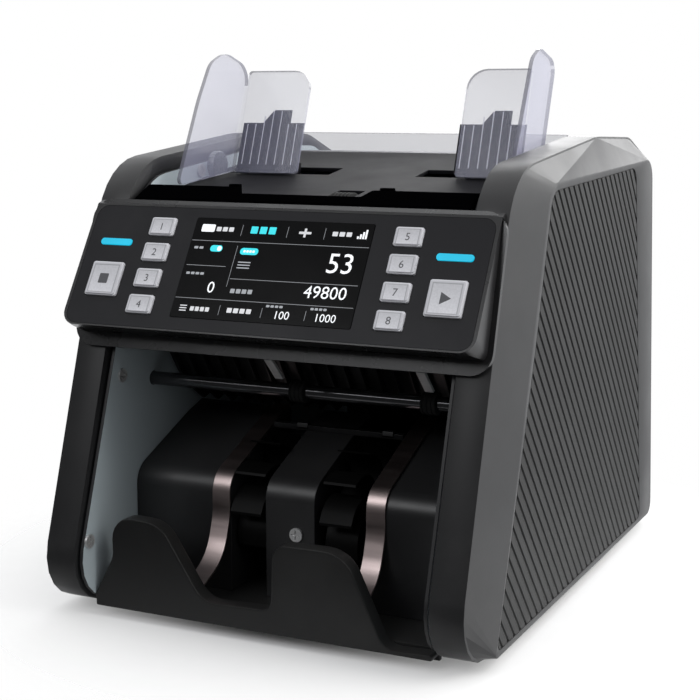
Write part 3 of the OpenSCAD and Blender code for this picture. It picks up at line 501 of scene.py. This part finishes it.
for side, middle in BRACKET_MIDDLES.items():
    narrowed(dressed["bracket_" + side].data, middle)
    bm = bmesh.new()
    for i in range(-3, 4):
        add_fin(bm, middle + i * FIN_PITCH + (GROOVE_W - FIN_W) / 2, TALLER_FINS.get(i, FIN_TOP))
    rounded(bm, list(bm.edges), FIN_ROUND)
    bmesh.ops.scale(bm, vec=(MM, MM, MM), verts=bm.verts)
    bmesh.ops.recalc_face_normals(bm, faces=bm.faces)
    fins = "bracket_fin_highlights_" + side
    place(mesh_of(bm, fins), fins, body_of["bracket_" + side], FIN_HIGHLIGHT_GLOW)
print("seven fins on each bracket")

# %% [markdown]
# ## Masks written on the meshes
# The rim mask marks every small face of a clear sheet whose direction is neither that of the wing nor
# that of the back plate, where a painted shade darkens the rim, and on the painted side frames it marks the
# cut edges, which are painted dark as shade. The groove mask marks the tall narrow faces in a bracket's
# grooves, which get painted highlights as fine bright lines, and the faces between the crests of the ribs,
# which are painted lighter than their shade. The cap map measures each key from its own middle.

# %% Rim mask
BROAD_SHARE = 0.08               # a direction with more of the area than this share is a sheet's, not its rim's


def write_mask(mesh, name, marked):
    """Writes 1 on the faces for which marked() holds, and 0 on the others."""
    mask = mesh.attributes.new(name, "FLOAT", "FACE")
    for face in mesh.polygons:
        mask.data[face.index].value = float(marked(face))


def heading(face):
    return tuple(round(abs(v), 1) for v in face.normal)


# the rim mask says where painted shade goes: the frames' cut edges and the rims of the clear sheets
for name in ("guide_left", "guide_right", "rear_plate", "frame_left", "frame_right"):
    mesh = dressed[name].data
    areas = {}
    for face in mesh.polygons:
        areas[heading(face)] = areas.get(heading(face), 0) + face.area
    broad = {way for way, area in areas.items() if area > BROAD_SHARE * sum(areas.values())}
    write_mask(mesh, "rim", lambda face: heading(face) not in broad)
print("rims marked")

# %% Groove mask
GROOVE_MAX, GROOVE_TALL = 1.5, 9.0   # a bracket's face narrower and taller than these lies in a groove
CREST = 0.25                         # faces deeper than this below the ribs' crests lie between them


def in_bracket_groove(mesh, face):
    corners = [mesh.vertices[i].co / MM for i in face.vertices]
    wide, deep, tall = (max(c[axis] for c in corners) - min(c[axis] for c in corners) for axis in range(3))
    return tall > GROOVE_TALL and max(wide, deep) < GROOVE_MAX


# the groove mask says where the bracket's painted highlight lines go
for name in ("bracket_left", "bracket_right"):
    mesh = dressed[name].data
    write_mask(mesh, "groove", lambda face: in_bracket_groove(mesh, face))
# the groove mask says where the ribs get painted light between their crests
for name in ("rib_panel_left", "rib_panel_right"):
    mesh = dressed[name].data
    outer = max(abs(v.co.x) for v in mesh.vertices) - CREST * MM
    write_mask(mesh, "groove", lambda face: abs(face.center.x) < outer)
print("grooves marked")

# %% Cap map
TOP_SKIN = 0.2                   # the flat top of a key lies within this of its greatest height
for name in KEYS:
    mesh = dressed[name].data
    across, up = on_face(name)
    spots = [FACE.inverted() @ v.co for v in mesh.vertices]
    top = [spot for spot in spots if spot.z > KEY_TOP - TOP_SKIN]
    half_w = max(abs(spot.x - across) for spot in top)
    half_h = max(abs(spot.y - up) for spot in top)
    cap_map = mesh.uv_layers.new(name="cap")
    for loop in mesh.loops:
        spot = spots[loop.vertex_index]
        cap_map.data[loop.index].uv = ((spot.x - across) / half_w, (spot.y - up) / half_h)
print("cap maps on", len(KEYS), "keys")

# %% [markdown]
# ## Rollers and feet, turned on a lathe
# A rubber roller is turned: its tread has grooves and its rims are rounded. In Blender that is a profile
# spun about the axle. The feet are lathe shapes as well, with a soft lower rim.


# %% Lathe
TREAD_SHOULDER, TREAD_FLOOR = 0.28, 0.16     # a groove's half widths, as shares of the pitch
RIM_EASE = 0.3                               # how far the middle of a rounded rim stands off its corner
TREAD_SHARP = 35                             # degrees


def turned(profile, axis_point, axis, turns):
    """Spins a closed profile, given as (along the axis, radius) in millimetres, into a ring."""
    bm = bmesh.new()
    side = Vector((0, 0, 1)) if abs(axis.z) < 0.5 else Vector((1, 0, 0))
    verts = [bm.verts.new(axis_point + (axis * along + side * radius) * MM) for along, radius in profile]
    edges = [bm.edges.new((a, b)) for a, b in zip(verts, verts[1:] + verts[:1])]
    bmesh.ops.spin(bm, geom=verts + edges, cent=axis_point, axis=axis, angle=2 * pi, steps=turns,
                   use_merge=True)
    bmesh.ops.remove_doubles(bm, verts=bm.verts, dist=1e-6)
    bmesh.ops.recalc_face_normals(bm, faces=bm.faces)
    shade_by_angle(bm, TREAD_SHARP)
    return bm


def ring_profile(width, inner, outer, groove, grooves, rim=0.5):
    """Half section of a tread: rims rounded off, and grooves cut into it."""
    half = width / 2
    eased = RIM_EASE * rim
    points = [(-half, inner), (-half, outer - rim), (-half + eased, outer - eased), (-half + rim, outer)]
    pitch = (width - 2 * rim) / grooves
    shoulder, floor = TREAD_SHOULDER * pitch, TREAD_FLOOR * pitch
    for i in range(grooves):
        middle = -half + rim + pitch * (i + 0.5)
        points += [(middle - shoulder, outer), (middle - floor, outer - groove),
                   (middle + floor, outer - groove), (middle + shoulder, outer)]
    return points + [(half - rim, outer), (half - eased, outer - eased), (half, outer - rim), (half, inner)]


def joined(parts, name, node):
    """Several turned parts become one piece that stands for a node."""
    mesh = bpy.data.meshes.new(name)
    whole = bmesh.new()
    for bm in parts:
        bm.to_mesh(mesh)
        whole.from_mesh(mesh)
        bm.free()
    whole.to_mesh(mesh)
    whole.free()
    piece = place(mesh, name, body_of[node], FINISHES[slot_of[node]])
    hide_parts(node)


# %% Rollers
X_AXIS, Z_AXIS = Vector((1, 0, 0)), Vector((0, 0, 1))
SHAFT_R, ROLLER_W = 4.02, 9.0
low, high = box_of("exit_rollers")
tread = ring_profile(ROLLER_W, SHAFT_R, (high.z - low.z) / 2 / MM, 0.5, 3)
roller_ends = (low.x + ROLLER_W / 2 * MM, high.x - ROLLER_W / 2 * MM)
middles = [Vector((x, (low.y + high.y) / 2, (low.z + high.z) / 2)) for x in roller_ends]
joined([turned(tread, middle, X_AXIS, 40) for middle in middles], "exit_roller_treads", "exit_rollers")
low, high = box_of("pick_roller")
tread = ring_profile((high.x - low.x) / MM, SHAFT_R, (high.z - low.z) / 2 / MM, 0.8, 5, 0.7)
joined([turned(tread, (low + high) / 2, X_AXIS, 48)], "pick_roller_tread", "pick_roller")
print("turned the rollers")

# %% Feet
FOOT_R, FOOT_H = 8.0, 3.0
PLUG_R, PLUG_H = 3.0, 2.8        # the plug that sits in the tray
SOFT_RIM = [(0, 6.2), (0.25, 6.9), (0.8, 7.3)]
foot_profile = [(0, 0), *SOFT_RIM, (FOOT_H, FOOT_R), (FOOT_H, PLUG_R), (FOOT_H + PLUG_H, PLUG_R),
                (FOOT_H + PLUG_H, 0)]
low, high = box_of("feet")
inset = FOOT_R * MM
columns, rows = (low.x + inset, high.x - inset), (low.y + inset, high.y - inset)
corners = [Vector((x, y, low.z)) for x in columns for y in rows]
joined([turned(foot_profile, corner, Z_AXIS, 40) for corner in corners], "rubber_feet", "feet")
print("turned four feet")

# %% [markdown]
# ## Dust filter
# A thin sheet of dark foam hangs just inside the rear cover, across its vents. It keeps dust out, and
# nobody can look through the machine from the back.

# %% Filter behind the vents
FILTER_W, FILTER_LOW, FILTER_TOP = 98.0, 114.0, 174.0
FILTER_T, FILTER_GAP, FILTER_ROUND = 1.2, 0.05, 0.3
FILTER_FOAM = finish("filter_foam", grain, (0.008, 0.008, 0.009), 0.9, 500, 0.4, 0.2, 0.2, specular=0.1)
inner_y = box_of("rear_cover")[0].y - FILTER_GAP * MM
bm = bmesh.new()
sheet = bmesh.ops.create_cube(bm, size=1.0)["verts"]
bmesh.ops.scale(bm, vec=(FILTER_W * MM, FILTER_T * MM, (FILTER_TOP - FILTER_LOW) * MM), verts=sheet)
bmesh.ops.translate(bm, vec=(0, inner_y - FILTER_T / 2 * MM, (FILTER_LOW + FILTER_TOP) / 2 * MM), verts=sheet)
rounded(bm, list(bm.edges), FILTER_ROUND * MM)
place(mesh_of(bm, "vent_filter"), "vent_filter", body_of["rear_cover"], FILTER_FOAM)
print("filter behind", FILTER_W, "mm of vents")


# %% [markdown]
# ## The read-out
# The display shows plain figures and simple signs on black. Each mark is a thin flat shape laid just
# above the glass, with a faint glow, so it stays sharp from any distance. Figures are set as text and
# turned into meshes; bars and pills are bevelled shapes.

# %% Marks on the face
SCREEN_PRINT, TOP_PRINT = SCREEN_TOP + 0.04, SCREEN_TOP + 0.07   # heights of a mark, and of a mark on a mark


def glowing(name, tone, strength):
    return finish(name, grain, tuple(0.5 * c for c in tone), 0.4, 2000, 0.05, 0.0, 0.05, glow=(tone, strength))


INK = {
    "white": glowing("readout_white", (0.90, 0.92, 0.95), 0.9),
    "grey": glowing("readout_grey", (0.42, 0.44, 0.47), 0.6),
    "cyan": glowing("readout_cyan", (0.03, 0.70, 0.78), 0.9),
    "soft": glowing("readout_soft", (0.80, 0.81, 0.84), 0.62),
    "line": glowing("readout_line", (0.30, 0.31, 0.33), 0.6),
    "print": finish("key_print", grain, (0.09, 0.09, 0.10), 0.5, 1500, 0.1, 0.0, 0.1),
}


def figure(text, size, anchor, ink, name, body="machine", height=SCREEN_PRINT, align="RIGHT"):
    """Text laid on the face: anchor is (across, up the slope) in millimetres."""
    curve = bpy.data.curves.new(name, "FONT")
    curve.body, curve.size, curve.align_x = text, size, align
    curve.resolution_u = 3
    holder = bpy.data.objects.new(name, curve)
    bpy.context.scene.collection.objects.link(holder)
    bpy.context.view_layer.update()
    mesh = bpy.data.meshes.new_from_object(holder.evaluated_get(bpy.context.evaluated_depsgraph_get()))
    bpy.data.objects.remove(holder)
    mesh.transform(FACE @ Matrix.Translation((anchor[0], anchor[1], height)))
    place(mesh, name, body, INK[ink])


def bars(shapes, ink, name, body="machine", height=SCREEN_PRINT):
    """Rounded bars, each (left, bottom, right, top, corner radius) on the face, as one flat mesh."""
    bm = bmesh.new()
    for left, bottom, right, top, radius in shapes:
        made = bmesh.ops.create_grid(bm, x_segments=1, y_segments=1, size=0.5)["verts"]
        bmesh.ops.scale(bm, vec=(right - left, top - bottom, 1), verts=made)
        bmesh.ops.translate(bm, vec=((left + right) / 2, (bottom + top) / 2, height), verts=made)
        if radius:
            bmesh.ops.bevel(bm, geom=made, offset=radius, offset_type="OFFSET", affect="VERTICES", segments=5,
                            profile=0.5, material=-1, clamp_overlap=True)
    bm.transform(FACE)
    place(mesh_of(bm, name), name, body, INK[ink])


def screen(u, v):
    """A place on the display, from its lower left corner, as shares of its width and height."""
    return (u - 0.5) * SCREEN_W, (v - 0.5) * SCREEN_H


def bar_at(u0, v0, u1, v1, radius=0.0):
    (left, bottom), (right, top) = screen(u0, v0), screen(u1, v1)
    return left, bottom, right, top, radius


# %% Ruled lines of the display
RULE = 0.005
ROW_RULES = ((0.005, 0.995, 0.766), (0.014, 0.241, 0.516), (0.284, 0.986, 0.400), (0.005, 0.990, 0.190))
TOP_TABS, LOW_TABS = (0.276, 0.535, 0.741), (0.272, 0.508, 0.747)
rules = [bar_at(u0, v, u1, v + RULE) for u0, u1, v in ROW_RULES]
rules += [bar_at(0.276, 0.323, 0.276 + RULE / 2, 0.730)]
rules += [bar_at(u, 0.83, u + RULE / 2, 0.94) for u in TOP_TABS]
rules += [bar_at(u, 0.045, u + RULE / 2, 0.14) for u in LOW_TABS]
bars(rules, "line", "readout_rules")
print(len(rules), "ruled lines")

# %% Figures of the display
FIGURES = (("53", 16.6, 0.942, 0.510, "count"), ("49800", 10.2, 0.940, 0.263, "sum"),
           ("0", 9.4, 0.212, 0.256, "rejects"), ("100", 6.5, 0.665, 0.046, "batch"),
           ("1000", 6.5, 0.915, 0.046, "rate"))
for text, size, u, v, name in FIGURES:
    figure(text, size, screen(u, v), "white", "readout_" + name)
print(len(FIGURES), "figures")


# %% Signs of the display
BLOCK, BLOCK_ROUND = 0.76, 0.35  # a block's share of its step, and its corner radius


def word(u0, u1, v0, v1, count):
    """A row of short blocks that stands where a word would be."""
    step = (u1 - u0) / count
    return [bar_at(u0 + step * i, v0, u0 + step * (i + BLOCK), v1, BLOCK_ROUND) for i in range(count)]


top_words = word(0.130, 0.238, 0.868, 0.912, 3) + word(0.784, 0.898, 0.866, 0.910, 3)
low_words = word(0.106, 0.222, 0.070, 0.112, 4) + word(0.316, 0.460, 0.074, 0.120, 4)
plus_sign = [bar_at(0.600, 0.874, 0.668, 0.898, 0.3), bar_at(0.6275, 0.842, 0.6405, 0.930, 0.3)]
list_sign = [bar_at(0.045, 0.064 + 0.024 * i, 0.085, 0.074 + 0.024 * i, 0.2) for i in range(3)]
bars(top_words + low_words + plus_sign + list_sign, "soft", "readout_signs")

block = [bar_at(0.042, 0.858, 0.119, 0.934, 0.8)]
signal = [bar_at(0.919 + 0.014 * i, 0.850, 0.929 + 0.014 * i, 0.874 + 0.022 * i) for i in range(4)]
bars(block + signal, "white", "readout_icon")

labels = [bar_at(0.304, 0.508 + 0.028 * i, 0.376, 0.519 + 0.028 * i, 0.3) for i in range(3)]
for u0, u1, v0, v1, count in ((0.305, 0.436, 0.264, 0.306, 4), (0.026, 0.135, 0.426, 0.450, 4),
                              (0.526, 0.623, 0.150, 0.172, 4), (0.768, 0.860, 0.150, 0.172, 4),
                              (0.030, 0.090, 0.684, 0.708, 2)):
    labels += word(u0, u1, v0, v1, count)
bars(labels, "grey", "readout_labels")
print("signs on the display")

# %% Lit signs of the display
bars(word(0.328, 0.482, 0.858, 0.930, 3), "cyan", "readout_mode")
bars([bar_at(0.299, 0.645, 0.402, 0.712, 1.9)], "cyan", "readout_pill")
bars([bar_at(0.124, 0.662, 0.194, 0.726, 1.8)], "cyan", "readout_toggle")
bars([bar_at(0.164, 0.670, 0.189, 0.718, 1.2)], "white", "readout_toggle_knob", height=TOP_PRINT)
bars(word(0.318, 0.386, 0.667, 0.690, 4), "white", "readout_pill_marks", height=TOP_PRINT)
print("lit signs on the display")

# %% [markdown]
# ## Marks on the keys
# The small keys carry plain numbers and the two big ones carry a square and a triangle, the usual signs
# for stop and start. They ride on their own key, so they go down with it.

# %% Key marks
KEY_MARK = KEY_TOP + 0.03        # height of a mark on a key
NUMBER_SIZE, NUMBER_DROP = 6.2, 2.2
SQUARE_HALF, SQUARE_ROUND = 3, 0.5
TRIANGLE_R, TRIANGLE_SHIFT = 4.0, 0.6
for number, key in enumerate(("l1", "l2", "l3", "l4", "r1", "r2", "r3", "r4"), 1):
    across, up = on_face("key_" + key)
    figure(str(number), NUMBER_SIZE, (across, up - NUMBER_DROP), "print", "mark_" + key, "button_" + key,
           KEY_MARK, align="CENTER")
across, up = on_face("key_left_big")
square = (across - SQUARE_HALF, up - SQUARE_HALF, across + SQUARE_HALF, up + SQUARE_HALF, SQUARE_ROUND)
bars([square], "print", "mark_stop", "button_left_big", KEY_MARK)
across, up = on_face("key_right_big")
on_cap = Matrix.Translation((across - TRIANGLE_SHIFT, up, KEY_MARK))
pointing_right = Matrix.Rotation(radians(-90), 4, "Z")
bm = bmesh.new()
bmesh.ops.create_circle(bm, cap_ends=True, segments=3, radius=TRIANGLE_R, matrix=on_cap @ pointing_right)
bm.transform(FACE)
place(mesh_of(bm, "mark_start"), "mark_start", "button_right_big", INK["print"])
print("ten key marks")

# %% [markdown]
# ## Floor, light and camera
# A pale floor that fades into a white backdrop keeps a soft shadow without a hard horizon. The white
# sweep stands behind and beside the machine and the room behind the camera is dim, so that black plastic
# shows its shape by what it reflects. Large soft lamps do the rest: one behind, one from the right and a
# weak one from the front left.

# %% Floor
FLOOR_R = 1.6
FADE_START, FADE_END = 0.14, 0.29    # the floor is full within the first distance, and gone past the second
PAPER_DULL, PAPER_BRIGHT = (0.96, 0.96, 0.96, 1), (0.98, 0.98, 0.98, 1)
bm = bmesh.new()
bmesh.ops.create_circle(bm, cap_ends=True, segments=96, radius=FLOOR_R)
floor = bpy.data.objects.new("studio_floor", mesh_of(bm, "studio_floor"))
bpy.context.scene.collection.objects.link(floor)
material, shader, s, where = new_finish("studio_floor")
distance = s.add("VectorMath", operation="LENGTH", inputs={0: where}).outputs["Value"]
fleck = s.spread(s.noise(where, 60.0, 4.0), 0.3, 0.7)
s.feed(shader.inputs["Base Color"], s.blend(fleck, PAPER_DULL, PAPER_BRIGHT))
shader.inputs["Roughness"].default_value = 0.9
shader.inputs["Specular IOR Level"].default_value = 0.1
clear = s.add("BsdfTransparent")
fade = s.add("MixShader", inputs={0: s.spread(distance, FADE_START, FADE_END), 1: shader.outputs[0],
                                  2: clear.outputs[0]})
s.feed(material.node_tree.nodes["Material Output"].inputs["Surface"], fade.outputs[0])
floor.data.materials.append(material)
print("floor radius", FLOOR_R, "m")

# %% Backdrop
ROOM_DARK = 0.06                 # how bright the room behind the camera is, against the white sweep
SWEEP_WAY = (0.15, 0.85, 0.5)    # the white sweep stands this way
world = bpy.data.worlds.new("studio_world")
bpy.context.scene.world = world
world.use_nodes = True
world.node_tree.nodes.clear()
s = Sheet(world.node_tree)
path = s.add("LightPath").outputs
straight = s.math("ADD", path["Is Camera Ray"], path["Is Transmission Ray"], clamp=True)
backdrop = s.add("Background", inputs={"Color": (1, 1, 1, 1), "Strength": 1.0})
way = s.add("TexCoord").outputs["Generated"]
toward = s.add("VectorMath", operation="DOT_PRODUCT", inputs={0: way, 1: SWEEP_WAY}).outputs["Value"]
room = s.add("Background", inputs={"Color": (0.97, 0.98, 1.0, 1),
                                   "Strength": s.spread(toward, -0.45, 0.35, ROOM_DARK, 1.0)})
mixed = s.add("MixShader", inputs={0: straight, 1: room.outputs[0], 2: backdrop.outputs[0]})
s.feed(s.add("OutputWorld").inputs["Surface"], mixed.outputs[0])
print("the room behind the camera is at", ROOM_DARK)


# %% Lamps
def lamp(name, where, aim, size, watts, tint=(1, 1, 1)):
    data = bpy.data.lights.new(name, "AREA")
    data.shape, data.size, data.size_y, data.energy, data.color = "RECTANGLE", size[0], size[1], watts, tint
    holder = bpy.data.objects.new(name, data)
    holder.location = where
    holder.rotation_euler = (Vector(aim) - Vector(where)).to_track_quat("-Z", "Y").to_euler()
    bpy.context.scene.collection.objects.link(holder)


lamp("lamp_back", (0.3, 1.9, 1.15), (0, 0.05, 0.2), (2.8, 1.4), 42.0)
lamp("lamp_right", (1.35, 0.1, 1.05), (0.0, 0, 0.16), (1.0, 1.0), 17.0, (1.0, 0.99, 0.97))
lamp("lamp_front", (-0.55, -1.35, 1.05), (0, 0, 0.14), (0.8, 0.6), 6.0, (0.97, 0.98, 1.0))
print("three lamps")

# %% Camera
FRAME_PX, FOCAL_PX = 700, 1466.757
SHIFT_X_PX, SHIFT_Y_PX = -42, -56
SENSOR = 36.0
LOOKS_DOWN, TURNED = 7.484, 24.582   # degrees
camera_data = bpy.data.cameras.new("camera")
camera_data.sensor_width = SENSOR
camera_data.lens = FOCAL_PX / FRAME_PX * SENSOR
camera_data.shift_x, camera_data.shift_y = SHIFT_X_PX / FRAME_PX, SHIFT_Y_PX / FRAME_PX
camera_data.clip_start = 0.01
camera = bpy.data.objects.new("camera", camera_data)
camera.location = (0.38517, -0.82208, 0.29101)
camera.rotation_euler = (radians(90 - LOOKS_DOWN), 0, radians(TURNED))
bpy.context.scene.collection.objects.link(camera)
bpy.context.scene.camera = camera
bpy.context.scene.view_settings.view_transform = "Standard"
print("camera", tuple(round(c, 3) for c in camera.location))
